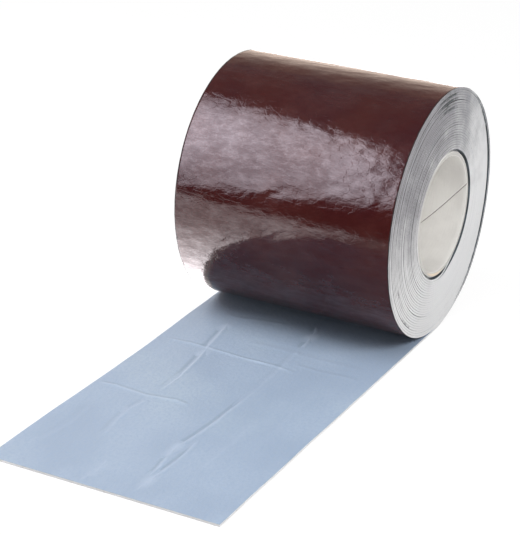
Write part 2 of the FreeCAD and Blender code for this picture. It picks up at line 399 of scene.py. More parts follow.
@dataclass(frozen=True)
class CutEdgeFinish:
    """The strip's cut edge: bitumen compound dusted pale grey, foil and film as fine lines, with
    painted shade greying it towards the top and front and darkening the outer turns' edges round
    the back.
    """

    dusted: Colour = (0.66, 0.66, 0.665)
    # The next tone is painted shade: the edge's colour towards the top and front of the roll's end.
    grey: Colour = (0.25, 0.25, 0.265)
    smear: Colour = (0.12, 0.15, 0.155)
    # The next tone is also painted shade on the outer turns' edges round the back.
    bitumen: Colour = (0.030, 0.042, 0.044)
    speckled: Colour = (0.85, 0.85, 0.85)
    foil_line: Colour = (0.20, 0.15, 0.15)
    film_line: Colour = (0.42, 0.47, 0.55)
    tooth: float = 0.11 * MM

    def build(self) -> bpy.types.Material:
        """Makes the material.

        Returns:
            The material.
        """
        net = ShaderNet.named("cut_edge")
        place = net.place()
        cloud = net.noise(place, 45.0, 5.0, 0.6)
        grain = net.noise(place, 1600.0, 3.0, 0.7)
        drag = net.noise(net.flat(), 220.0, 4.0, 0.65)
        depth = net.attribute(DEPTH)
        split = net.node("ShaderNodeSeparateXYZ", {}, {0: place})
        # Painted shade: greyer towards the top and front of the roll's end, paler towards the
        # bottom and back.
        painted_lit_side = net.signal(split, "Y").math("MAXIMUM", -0.08) * 0.45 - net.signal(split, "Z")
        painted_lit_side = painted_lit_side + (cloud - 0.5) * 0.16
        colour = net.mix(painted_lit_side.ramp(-0.075, 0.035), self.grey, self.dusted)
        colour = net.mix(drag.ramp(0.62, 0.84) * 0.26, colour, self.smear)
        # Dark cut edges: bare bitumen in arcs, and painted shade on the outer two turns round the
        # back.
        mark = net.attribute(BITUMEN_AND_SHADE)
        dark = (mark + (drag - 0.5) * 0.9).ramp(0.40, 0.72) * depth.ramp(0.98, 0.55)
        colour = net.mix(dark, colour, self.bitumen)
        colour = net.mix(grain.ramp(0.55, 0.75) * 0.25, colour, self.speckled)
        colour = net.mix(depth.ramp(0.10, 0.02) * 0.55, colour, self.foil_line)
        colour = net.mix(depth.ramp(0.90, 0.98) * 0.45, colour, self.film_line)
        return net.surface(
            Base_Color=colour,
            Roughness=0.62 + (grain - 0.5) * 0.3,
            IOR=1.45,
            Normal=net.bump(grain * 0.5 + drag, self.tooth),
        )


@dataclass(frozen=True)
class ReleaseFilmFinish:
    """Release film: pale steel blue, satin, with rub marks and faint bubbles, paler along crease
    ridges from stress whitening and painted highlight, and darker in their valleys from painted
    shade.
    """

    blue: Colour = (0.374, 0.458, 0.580)
    cold: Colour = (0.334, 0.414, 0.536)
    greenish: Colour = (0.432, 0.520, 0.612)
    rubbed: Colour = (0.60, 0.68, 0.80)
    speckled: Colour = (0.31, 0.405, 0.55)
    # The next two: crease ridges, paler from stress whitening and painted highlight; crease
    # valleys, darker from painted shade.
    ridge_whitening_and_highlight: Colour = (0.60, 0.68, 0.79)
    painted_crease_shade: Colour = (0.22, 0.29, 0.38)
    bubble_depth: float = 0.36 * MM
    grain_depth: float = 0.020 * MM

    def build(self) -> bpy.types.Material:
        """Makes the material.

        Returns:
            The material.
        """
        net = ShaderNet.named("release_film")
        broad = net.noise(net.flat((1.0, 1.6)), 14.0, 4.0)
        patch = net.noise(net.flat(), 9.0, 4.0, 0.6)
        rub = net.noise(net.flat((3.0, 30.0), 4.0), 16.0, 4.0, 0.7)
        grain = net.noise(net.flat(), 1400.0, 2.0)
        bubble = net.noise(net.flat((1.0, 1.3)), 330.0, 4.0, 0.6)
        speck = net.noise(net.flat(), 430.0, 4.0, 0.7)
        fold = net.attribute(FOLD)
        colour = net.mix(broad.ramp(0.35, 0.65), self.cold, self.blue)
        colour = net.mix(patch.ramp(0.48, 0.74) * 0.6, colour, self.greenish)
        colour = net.mix(rub.ramp(0.60, 0.78) * 0.16, colour, self.rubbed)
        colour = net.mix(speck.ramp(0.40, 0.66) * 0.66, colour, self.speckled)
        # Crease ridges painted paler, partly stress whitening and partly painted highlight; their
        # valleys painted darker as painted shade.
        colour = net.mix(fold.ramp(0.06, 0.9) * 0.32, colour, self.ridge_whitening_and_highlight)
        colour = net.mix(fold.ramp(-0.03, -0.45) * 0.44, colour, self.painted_crease_shade)
        low = net.bump(bubble, self.bubble_depth)
        return net.surface(
            Base_Color=colour,
            Roughness=0.46 + (rub - 0.5) * 0.25,
            IOR=1.40,
            Normal=net.bump(grain, self.grain_depth, low),
        )


@dataclass(frozen=True)
class FilmBackFinish:
    """The sticky side inside the roll: bitumen seen dark through its blue film."""

    dark: Colour = (0.020, 0.028, 0.032)
    film: Colour = (0.085, 0.105, 0.125)
    ripple: float = 0.08 * MM

    def build(self) -> bpy.types.Material:
        """Makes the material.

        Returns:
            The material.
        """
        net = ShaderNet.named("film_over_bitumen")
        cloud = net.noise(net.flat(), 90.0, 4.0, 0.6)
        return net.surface(
            Base_Color=net.mix(cloud.ramp(0.35, 0.7), self.dark, self.film),
            Roughness=0.30 + cloud * 0.2,
            IOR=1.45,
            Normal=net.bump(cloud, self.ripple),
        )


@dataclass(frozen=True)
class PaperboardFinish:
    """Grey-white paperboard of a spiral-wound tube, with its ply seam."""

    pale: Colour = (0.800, 0.785, 0.755)
    grey: Colour = (0.730, 0.712, 0.685)
    seam: Colour = (0.085, 0.062, 0.050)
    cream: Colour = (0.72, 0.60, 0.48)
    end_grain: Colour = (0.50, 0.485, 0.46)
    laid: Colour = (0.62, 0.60, 0.57)
    fibres: Colour = (0.52, 0.48, 0.43)
    laid_depth: float = 0.06 * MM
    fibre_depth: float = 0.05 * MM

    def build(self) -> bpy.types.Material:
        """Makes the material.

        Returns:
            The material.
        """
        net = ShaderNet.named("paperboard")
        fibre = net.noise(net.place(), 700.0, 5.0, 0.7)
        cloud = net.noise(net.place(), 38.0, 4.0, 0.6)
        lay = net.noise(net.flat((1.0, 14.0)), 90.0, 4.0, 0.6)
        seam = net.attribute(SEAM)
        rim = net.attribute(RIM)
        colour = net.mix(cloud.ramp(0.35, 0.65), self.grey, self.pale)
        colour = net.mix(lay.ramp(0.45, 0.75) * 0.22, colour, self.laid)
        colour = net.mix(fibre.ramp(0.55, 0.80) * 0.15, colour, self.fibres)
        colour = net.mix(rim.ramp(0.0, 0.25), colour, self.end_grain)
        colour = net.mix(rim.ramp(0.4, 1.0), colour, self.cream)
        ragged = seam + (fibre - 0.5) * 0.5
        colour = net.mix(ragged.ramp(0.45, 0.75), colour, self.seam)
        low = net.bump(lay, self.laid_depth)
        return net.surface(
            Base_Color=colour,
            Roughness=0.80 + (fibre - 0.5) * 0.2,
            IOR=1.40,
            Normal=net.bump(fibre, self.fibre_depth, low),
        )


# ---------------------------------------------------------------- shared shapes

CORNER = 35.0  # degrees between two faces from which their edge stays a corner
WELD = 1e-7  # metres within which two points are the same


def blank_mesh(name: str, shape: bmesh.types.BMesh) -> bpy.types.Object:
    """Makes an object of a finished shape and links it to the scene.

    Args:
        name: The piece's name.
        shape: Its mesh, which is freed.

    Returns:
        The object, at the origin.
    """
    mesh = bpy.data.meshes.new(name)
    shape.to_mesh(mesh)
    shape.free()
    piece = bpy.data.objects.new(name, mesh)
    bpy.context.scene.collection.objects.link(piece)
    return piece


def smooth(piece: bpy.types.Object, corner: float) -> None:
    """Shades a piece smoothly, apart from corners of that many degrees or more."""
    piece.data.polygons.foreach_set("use_smooth", [True] * len(piece.data.polygons))
    piece.data.set_sharp_from_angle(angle=math.radians(corner))


def smoothstep(low: float, high: float, value: float) -> float:
    """A smooth step from 0 at low to 1 at high, which may be the lesser."""
    share = min(max((value - low) / (high - low), 0.0), 1.0)
    return share * share * (3.0 - 2.0 * share)


def hump(centre: float, reach: float, value: float) -> float:
    """A smooth hump: 1 at centre, falling to 0 at reach to either side."""
    share = min(abs(value - centre) / reach, 1.0)
    return 0.5 + 0.5 * math.cos(math.pi * share)


@dataclass(frozen=True)
class EdgePoint:
    """One point of a strip's outline, at an edge.

    Attributes:
        out: How far it stands out past the nominal edge, in metres.
        depth: Its share of the way from the foil face to the film face.
    """

    out: float
    depth: float


CUT_EDGE = (
    EdgePoint(-0.14 * MM, 0.00),
    EdgePoint(-0.03 * MM, 0.05),
    EdgePoint(0.02 * MM, 0.28),
    EdgePoint(0.05 * MM, 0.55),
    EdgePoint(0.01 * MM, 0.82),
    EdgePoint(-0.06 * MM, 0.95),
    EdgePoint(-0.20 * MM, 1.00),
)


class Face(Enum):
    """Which finish a stretch of a strip's outline has."""

    FOIL = 0
    EDGE = 1
    BACK = 2


@dataclass
class Outline:
    """A strip's cross-section: where each point of it lies across the strip and in depth."""

    half_width: float
    foil_columns: int
    back_columns: int
    points: list[tuple[float, float, float]] = field(default_factory=list)

    def __post_init__(self) -> None:
        """Lists the points once round: foil face, +X edge, film face, -X edge."""
        flat = self.half_width + CUT_EDGE[0].out
        for column in range(self.foil_columns):
            share = column / self.foil_columns
            self.points.append((-flat + 2 * flat * share, 0.0, 0.0))
        for point in CUT_EDGE[:-1]:
            self.points.append((self.half_width, point.depth, point.out))
        flat = self.half_width + CUT_EDGE[-1].out
        for column in range(self.back_columns):
            share = column / self.back_columns
            self.points.append((flat - 2 * flat * share, 1.0, 0.0))
        for point in reversed(CUT_EDGE[1:]):
            self.points.append((-self.half_width, point.depth, -point.out))

    def face(self, index: int) -> Face:
        """Which finish lies between this point and the next.

        Args:
            index: The point's number.

        Returns:
            The finish.
        """
        edge = len(CUT_EDGE) - 1
        if index < self.foil_columns:
            return Face.FOIL
        if index < self.foil_columns + edge:
            return Face.EDGE
        if index < self.foil_columns + edge + self.back_columns:
            return Face.BACK
        return Face.EDGE


Laying = Callable[[float, float, float, float], Vector]


def lay_strip(
    name: str,
    outline: Outline,
    stations: Sequence[float],
    laying: Laying,
    materials: Sequence[bpy.types.Material],
    grime: Callable[[float], float] | None = None,
) -> bpy.types.Object:
    """Makes a strip of the outline's section along its stations.

    A plain grid is closed round into a tube of that section, capped, and laid out.

    Args:
        name: The piece's name.
        outline: The strip's cross-section.
        stations: Places along the strip, in metres of strip.
        laying: Gives a point's place in space and its distance along the strip, from its
            station, its place across, its depth share and how far it stands out.
        materials: A finish for each Face, in their order.
        grime: Gives how dark the cut edges are painted at a station, from bare bitumen and painted
            shade.

    Returns:
        The piece, with its map, its attributes and its finishes.
    """
    rows, columns = len(stations) - 1, len(outline.points)
    shape = bmesh.new()
    layer = shape.loops.layers.uv.new(STRIP_MAP)
    depth_layer = shape.verts.layers.float.new(DEPTH)
    bitumen_and_shade_layer = shape.verts.layers.float.new(BITUMEN_AND_SHADE)
    bmesh.ops.create_grid(shape, x_segments=rows, y_segments=columns, size=0.5, calc_uvs=False)
    shape.verts.ensure_lookup_table()
    seat: dict[int, tuple[int, int]] = {}
    for vert in shape.verts:
        row = round((vert.co.x + 0.5) * rows)
        column = round((vert.co.y + 0.5) * columns)
        seat[vert.index] = (row, column)
    for face in shape.faces:
        low = min(seat[vert.index][1] for vert in face.verts)
        face.material_index = outline.face(low).value
        for loop in face.loops:
            row, column = seat[loop.vert.index]
            loop[layer].uv = (stations[row], outline.points[column % columns][0])
    for vert in shape.verts:
        row, column = seat[vert.index]
        across, depth, out = outline.points[column % columns]
        vert.co = laying(stations[row], across, depth, out)
        vert[depth_layer] = depth
        vert[bitumen_and_shade_layer] = grime(stations[row]) if grime else 0.0
    bmesh.ops.remove_doubles(shape, verts=shape.verts, dist=WELD)
    open_edges = [edge for edge in shape.edges if edge.is_boundary]
    caps = bmesh.ops.holes_fill(shape, edges=open_edges, sides=0)["faces"]
    for cap in caps:
        cap.material_index = Face.EDGE.value
        for loop in cap.loops:
            place = loop.vert.co
            loop[layer].uv = (place.y + place.z, place.x)
    bmesh.ops.triangulate(shape, faces=caps)
    bmesh.ops.recalc_face_normals(shape, faces=shape.faces)
    piece = blank_mesh(name, shape)
    smooth(piece, CORNER)
    for material in materials:
        piece.data.materials.append(material)
    return piece


# ---------------------------------------------------------------- the winding


@dataclass(frozen=True)
class Loosening:
    """A stretch of some turns that has lifted off the turns inside them.

    Attributes:
        first: The outermost turn that lifts, counted from outside.
        last: The innermost turn that lifts.
        centre: Where it is, in degrees round from the bottom, up the back.
        reach: How far it runs to either side, in degrees.
        lift: How far out it stands, in metres.
    """

    first: int
    last: int
    centre: float
    reach: float
    lift: float


@dataclass(frozen=True)
class Tightening:
    """A stretch where all turns from one inwards are pulled tight.

    Attributes:
        first: The outermost turn that is pulled in.
        centre: Where it is, in degrees round from the bottom, up the back.
        reach: How far it runs to either side, in degrees.
        share: How much of the slack is taken out.
    """

    first: int
    centre: float
    reach: float
    share: float


@dataclass
class Winding:
    """Where every turn of the strip lies, from the outermost inwards.

    A place in the winding is a number of turns from the outside: 0 where the tail leaves the
    floor, growing up the back, over the top and down the front.
    """

    radius: float
    core_radius: float
    half_width: float
    thickness: float = 1.5 * MM
    turns: int = 26
    creep: float = 2.25 * MM
    flush_turns: float = 3.0
    start_recess: float = 3.3 * MM
    slack_seed: int = 11
    wobble: float = 0.17 * MM
    slip: float = 0.80 * MM
    tail_grime: float = 0.36
    loosened: tuple[Loosening, ...] = (
        Loosening(0, 2, 47.0, 34.0, 0.9 * MM),
        Loosening(0, 0, 40.0, 26.0, 0.5 * MM),
    )
    tightened: tuple[Tightening, ...] = (
        Tightening(1, 95.0, 80.0, 0.62),
        Tightening(5, 176.0, 30.0, 0.55),
        Tightening(3, 205.0, 22.0, 0.45),
        Tightening(9, 330.0, 26.0, 0.35),
    )
    gaps: list[float] = field(default_factory=list)

    def __post_init__(self) -> None:
        """Shares the winding's slack out unevenly between its turns."""
        draw = random.Random(self.slack_seed)
        weights = [0.0] + [draw.random() ** 2 + 0.05 for _ in range(self.turns - 1)]
        slack = self.radius - self.core_radius - self.turns * self.thickness - self.thickness
        total = sum(weights)
        self.gaps = [slack * weight / total for weight in weights]

    def _slack(self, place: float) -> float:
        """Slack left inside a place in the winding.

        Args:
            place: Turns from the outside.

        Returns:
            The slack, in metres.
        """
        whole = min(int(place), self.turns - 1)
        outside = sum(self.gaps[:whole]) + self.gaps[whole] * (place - whole)
        return sum(self.gaps) - outside

    def _drop(self, place: float) -> float:
        """How much of one thickness a turn has come in by since its start.

        The turns on the core keep its roundness and step in over the strip's own end; further
        out the step is smoothed into a spiral.

        Args:
            place: Turns from the outside.

        Returns:
            The share, from 0 to 1.
        """
        turn = int(place)
        share = place - turn
        stepped = smoothstep(4.0, self.turns - 1.0, turn)
        return (1.0 - stepped) * share + stepped * smoothstep(0.0, 0.07, share)

    def outer_radius(self, place: float) -> float:
        """Radius of the foil face.

        Args:
            place: Turns from the outside.

        Returns:
            The radius, in metres.
        """
        turn = int(place)
        degrees = 360.0 * (place - turn)
        layers = self.turns - turn + 1
        slack = self._slack(place)
        for tight in self.tightened:
            if turn >= tight.first:
                near = min(abs(degrees - tight.centre), 360.0 - abs(degrees - tight.centre))
                slack *= 1.0 - tight.share * hump(0.0, tight.reach, near)
        radius = self.core_radius + self.thickness * (layers - self._drop(place)) + slack
        for loose in self.loosened:
            if loose.first <= turn <= loose.last:
                radius += loose.lift * hump(loose.centre, loose.reach, degrees)
        return radius

    def shift(self, place: float, across: float) -> float:
        """How far the strip has slid along the axis.

        Args:
            place: Turns from the outside.
            across: Which edge, by its sign.

        Returns:
            The slide towards +X, in metres.
        """
        inner = self.turns - 1.0
        share = min(max((place - self.flush_turns) / (inner - self.flush_turns), 0.0), 1.0)
        slide = self.creep * share - self.start_recess * smoothstep(inner - 0.1, inner + 0.3, place)
        if 1.0 <= place < 3.0:
            slide -= self.slip * hump(86.0, 78.0, 360.0 * (place % 1.0))
        fade = smoothstep(0.0, 0.4, place)
        drift = noise.noise(Vector((place * 1.9, 3.1, 0.0)))
        turn = noise.noise(Vector((place * 7.0, 9.7, math.copysign(2.0, across))))
        return slide + fade * self.wobble * (drift + 0.6 * turn)

    def spot(self, place: float, across: float, depth: float, out: float) -> Vector:
        """A point of the wound strip.

        Args:
            place: Turns from the outside.
            across: Distance from the strip's middle line.
            depth: Share of the way from foil to film face.
            out: How far the point stands out past the edge.

        Returns:
            Its place in space.
        """
        angle = 2.0 * math.pi * place
        radius = self.outer_radius(place) - depth * self.thickness
        x = across + out + self.shift(place, across)
        return Vector((x, radius * math.sin(angle), -radius * math.cos(angle)))

    def grime(self, place: float) -> float:
        """How dark the cut edges are painted: bare bitumen, and painted shade on the outer two
        turns round the back.

        Args:
            place: Turns from the outside; 0 or less on the tail.

        Returns:
            The share, from 0 to about 1.
        """
        if place <= 0.0:
            return self.tail_grime
        turn = int(place)
        degrees = 360.0 * (place - turn)
        # Painted shade: the outer two turns' edges darken round the back, where they sit in shadow;
        # the arcs at the top, low down and on the tail are bare bitumen.
        back = hump(88.0, 80.0, degrees) ** 0.5
        top = hump(182.0, 30.0, degrees)
        shares = {0: 1.1 * back, 1: 0.85 * back, 2: 0.70 * top, 4: 0.75 * top, 7: 0.65 * top}
        low = {3: 0.58 * hump(318.0, 20.0, degrees), 6: 0.54 * hump(300.0, 26.0, degrees)}
        return max(shares.get(turn, 0.0), low.get(turn, 0.0), 0.5 * top if turn < 9 else 0.0)


@dataclass
class WoundTurns:
    """All the turns but the outermost, as one spiral strip."""

    winding: Winding
    steps_per_turn: int = 150

    def build(self, materials: Sequence[bpy.types.Material]) -> bpy.types.Object:
        """Makes the piece.

        Args:
            materials: Foil, cut edge and film face, in that order.

        Returns:
            The piece.
        """
        winding = self.winding
        outline = Outline(winding.half_width, foil_columns=1, back_columns=1)
        count = (winding.turns - 1) * self.steps_per_turn
        places = [1.0 + (winding.turns - 1) * step / (count + 1) for step in range(count + 1)]
        spots = [winding.spot(place, 0.0, 0.0, 0.0) for place in places]
        steps = [(after - before).length for before, after in zip(spots, spots[1:])]
        stations = list(accumulate(steps, initial=2.0 * math.pi * winding.radius))
        along = dict(zip(stations, places))

        def laying(station: float, across: float, depth: float, out: float) -> Vector:
            """Winds one point of the strip."""
            return winding.spot(along[station], across, depth, out)

        def grime(station: float) -> float:
            """Finds how dark the cut edges are painted at a station: bare bitumen and painted
            shade.
            """
            return winding.grime(along[station])

        return lay_strip("wound_turns", outline, stations, laying, materials, grime)


@dataclass(frozen=True)
class FoilRelief:
    """Creases and undulations of the foil, in metres out of its face."""

    broad: float = 0.26 * MM
    band: float = 0.20 * MM
    fine: float = 0.030 * MM
    edge_curl: float = 0.10 * MM

    def height(self, along: float, across: float, half_width: float) -> float:
        """Relief at a point of the strip.

        Args:
            along: Metres along the strip.
            across: Metres from its middle line.
            half_width: Half the strip's width.

        Returns:
            The height.
        """
        wide = noise.noise(Vector((along * 17.0, across * 9.0, 1.7)))
        run, side = along * 0.97 + across * 0.22, across * 0.97 - along * 0.22
        lean = noise.noise(Vector((along * 25.0, across * 25.0, 6.0))) * 0.004
        band = -abs(noise.noise(Vector(((run + lean) * 115.0, side * 38.0, 5.0))))
        band -= 0.6 * abs(noise.noise(Vector(((run - lean) * 210.0, side * 95.0, 2.0))))
        fine = noise.fractal(Vector((run * 300.0, side * 190.0, 9.0)), 0.7, 2.0, 2)
        edge = smoothstep(half_width - 0.006, half_width, abs(across))
        curl = edge * noise.noise(Vector((along * 60.0, math.copysign(4.0, across), 0.0)))
        return self.broad * wide + self.band * band + self.fine * fine + self.edge_curl * curl


@dataclass
class OuterTurnAndTail:
    """The outermost turn and the unrolled tail, in one run."""

    winding: Winding
    tail_length: float
    film: float
    relief: FoilRelief = FoilRelief()
    foil_columns: int = 116
    back_columns: int = 10
    turn_step: float = 1.3 * MM
    tail_step: float = 3.2 * MM
    settle: float = 0.10

    def tail_sway(self, along: float, across: float) -> float:
        """How far the tail's edge bows in, in metres.

        Args:
            along: Metres from the axis towards the cut end.
            across: Metres from the middle line.

        Returns:
            The shift towards +X.
        """
        if across > 0:
            return 0.25 * MM * noise.noise(Vector((along * 30.0, 7.0, 0.0)))
        bow = 1.6 * MM * hump(0.135, 0.12, along)
        return bow + 0.3 * MM * (1.0 + noise.noise(Vector((along * 38.0, 2.0, 0.0))))

    def lay(self, station: float, across: float, depth: float, out: float) -> Vector:
        """Places one point of the strip; stations below 0 are on the tail.

        Args:
            station: Turns of the winding, or metres of the tail as a negative number.
            across: Metres from the middle line.
            depth: Share of the way from foil to film face.
            out: How far the point stands out past the edge.

        Returns:
            The point's place.
        """
        winding = self.winding
        if station < 0.0:
            share = abs(across) / winding.half_width
            shift = self.tail_sway(-station, across) * share
            thickness = winding.thickness - self.film
            lift = (depth * thickness) - winding.radius
            return Vector((across + out + shift, station, lift))
        spot = winding.spot(station, across, depth, out)
        along = station * 2.0 * math.pi * winding.radius
        settled = smoothstep(0.0, self.settle, station)
        settled *= smoothstep(1.0, 1.0 - self.settle, station)
        rise = self.relief.height(along, across, winding.half_width) * settled
        out_of = Vector((0.0, spot.y, spot.z)).normalized()
        return spot + out_of * rise * (1.0 - depth)

    def build(self, materials: Sequence[bpy.types.Material]) -> bpy.types.Object:
        """Makes the piece.

        Args:
            materials: Foil, cut edge and film face, in that order.

        Returns:
            The piece.
        """
        winding = self.winding
        outline = Outline(winding.half_width, self.foil_columns, self.back_columns)
        tail_rows = round(self.tail_length / self.tail_step)
        around = 2.0 * math.pi * winding.radius
        turn_rows = round(around / self.turn_step)
        stations = [-self.tail_length * (1.0 - row / tail_rows) for row in range(tail_rows)]
        stations += [row / turn_rows for row in range(turn_rows + 1)]
        name = "outer_turn_and_tail"
        piece = lay_strip(name, outline, stations, self.lay, materials, winding.grime)
        for layer in piece.data.uv_layers:
            for loop in layer.data:
                if loop.uv.x > 0.0:
                    loop.uv.x *= around
        return piece


# ---------------------------------------------------------------- the release film


@dataclass(frozen=True)
class Crease:
    """A crease in the film, as a ridge with a shallow valley beside it.

    Attributes:
        line: Points across and along the tail, in millimetres from its middle and the axis.
        height: How high the ridge stands, in millimetres.
        width: How wide it is, in millimetres.
        valley: How deep the valley on its near side is, as a share of the height.
    """

    line: tuple[Point, ...]
    height: float
    width: float
    valley: float = 0.5

    def rise(self, x: float, y: float) -> float:
        """Height of the crease.

        Args:
            x: Place across the tail, in millimetres.
            y: Place along it, in millimetres.

        Returns:
            The height, in millimetres; below 0 in the valley.
        """
        best, side, fade = 1e9, 1.0, 1.0
        total = len(self.line) - 1
        for index, (start, end) in enumerate(zip(self.line, self.line[1:])):
            step = (end[0] - start[0], end[1] - start[1])
            size = step[0] ** 2 + step[1] ** 2
            share = ((x - start[0]) * step[0] + (y - start[1]) * step[1]) / size
            share = min(max(share, 0.0), 1.0)
            away = (x - start[0] - share * step[0], y - start[1] - share * step[1])
            distance = math.hypot(*away)
            if distance < best:
                best = distance
                side = math.copysign(1.0, step[0] * away[1] - step[1] * away[0])
                run = (index + share) / total
                fade = smoothstep(0.0, 0.12, run) * smoothstep(1.0, 0.88, run)
        ridge = math.exp(-((best / self.width) ** 2))
        offset = best * side / self.width
        valley = math.exp(-((offset - 1.8) ** 2) / 1.6)
        return self.height * fade * (ridge - self.valley * valley)


CREASES = (
    Crease(
        ((30, 106), (10, 103), (-10, 103.5), (-39, 101.5), (-52, 101.5), (-72, 103)), 0.75, 1.1
    ),
    Crease(((-45, 58), (-42, 75), (-39, 98), (-35, 120), (-32, 148), (-33, 172)), 0.95, 1.4),
    Crease(
        ((-6, 178), (-18, 176), (-38, 179.5), (-48, 178.5), (-60, 177.5), (-74, 179)), 0.80, 1.2
    ),
    Crease(((-33, 182), (-36, 200), (-35, 216), (-31, 240)), 0.50, 1.6),
    Crease(((8, 36), (11.5, 48), (13.5, 62), (14, 72)), 1.30, 1.1, 0.8),
    Crease(((14, 72), (16, 96), (17.5, 132), (17, 165)), 0.42, 1.6),
    Crease(((17, 152), (16.5, 188), (15, 208), (12.5, 226)), 1.00, 1.2, 0.7),
    Crease(((12.3, 220), (13, 238), (15.5, 252), (16.5, 268)), 0.95, 1.1),
    Crease(((19, 212), (20.5, 232), (20, 252), (17, 289)), 0.90, 1.1, 0.7),
    Crease(((66, 96), (56, 95), (40, 96.5), (20, 95)), 0.34, 1.6),
    Crease(((66, 81), (30, 81.5), (4, 80), (-22, 81)), 0.26, 2.2),
    Crease(((-8, 44), (-26, 47), (-44, 52), (-52, 50)), 0.34, 1.6),
    Crease(((-14, 258), (-12, 275), (-15, 289)), 0.55, 1.4),
    Crease(((36, 176), (38, 204), (37, 250)), 0.35, 2.0),
    Crease(((-58, 206), (-56, 232), (-60, 262)), 0.30, 2.2),
    Crease(((52, 120), (50, 150), (54, 188)), 0.25, 2.4),
)


@dataclass
class ReleaseFilm:
    """The release film lying on the tail."""

    winding: Winding
    tail: OuterTurnAndTail
    top_columns: int = 132
    under_columns: int = 24
    row_step: float = 1.15 * MM
    thickness: float = 0.08 * MM
    clearance: float = 0.012 * MM
    ripple: float = 0.10 * MM
    under_roll: float = 0.022

    def mark_folds(self, piece: bpy.types.Object) -> None:
        """Writes how far each point is up a crease into the piece's fold attribute.

        Args:
            piece: The film, laid out.
        """
        mark = piece.data.attributes.new(FOLD, "FLOAT", "POINT")
        marks = []
        for vert in piece.data.vertices:
            x, y = vert.co.x / MM, -vert.co.y / MM
            marks.append(sum(crease.rise(x, y) for crease in CREASES))
        mark.data.foreach_set("value", marks)

    def rise(self, across: float, along: float) -> float:
        """How far the film stands off the strip, in metres.

        Args:
            across: Metres from the middle line.
            along: Metres from the axis towards the cut end.

        Returns:
            The height.
        """
        creased = sum(crease.rise(across / MM, along / MM) for crease in CREASES) * MM
        slow = noise.noise(Vector((across * 14.0, along * 20.0, 0.4)))
        quick = noise.noise(Vector((across * 60.0, along * 95.0, 3.3)))
        creased *= 0.80 + 0.55 * noise.noise(Vector((across * 90.0, along * 90.0, 8.0)))
        cover = self.ripple * (0.9 + slow + 0.35 * quick)
        free = smoothstep(self.under_roll * 0.45, self.under_roll * 2.0, along)
        edge = smoothstep(0.0, 0.003, self.winding.half_width - abs(across))
        end = smoothstep(0.0, 0.003, self.tail.tail_length - along)
        return max(0.0, creased + cover * edge * end + 0.02 * MM) * free

    def lay(self, station: float, across: float, depth: float, out: float) -> Vector:
        """Places one point of the film; its top is the outline's first face.

        Args:
            station: Metres from the axis towards the cut end.
            across: Metres from the middle line.
            depth: Share of the way from top to underside.
            out: How far the point stands out past the edge.

        Returns:
            The point's place.
        """
        share = abs(across) / self.winding.half_width
        shift = self.tail.tail_sway(station, across) * share
        bottom = self.winding.thickness - self.thickness - self.winding.radius
        stand = self.rise(across, station)
        z = bottom + self.clearance * depth + self.thickness * (1.0 - depth) + stand
        return Vector((across + shift + 0.2 * out, -station, z))

    def build(self, materials: Sequence[bpy.types.Material]) -> bpy.types.Object:
        """Makes the piece.

        Args:
            materials: The film's finish for each face of the outline.

        Returns:
            The piece.
        """
        outline = Outline(self.winding.half_width, self.top_columns, self.under_columns)
        rows = round(self.tail.tail_length / self.row_step)
        stations = [self.tail.tail_length * row / rows for row in range(rows + 1)]
        piece = lay_strip("release_film_on_tail", outline, stations, self.lay, materials)
        self.mark_folds(piece)
        return piece


# ---------------------------------------------------------------- the core


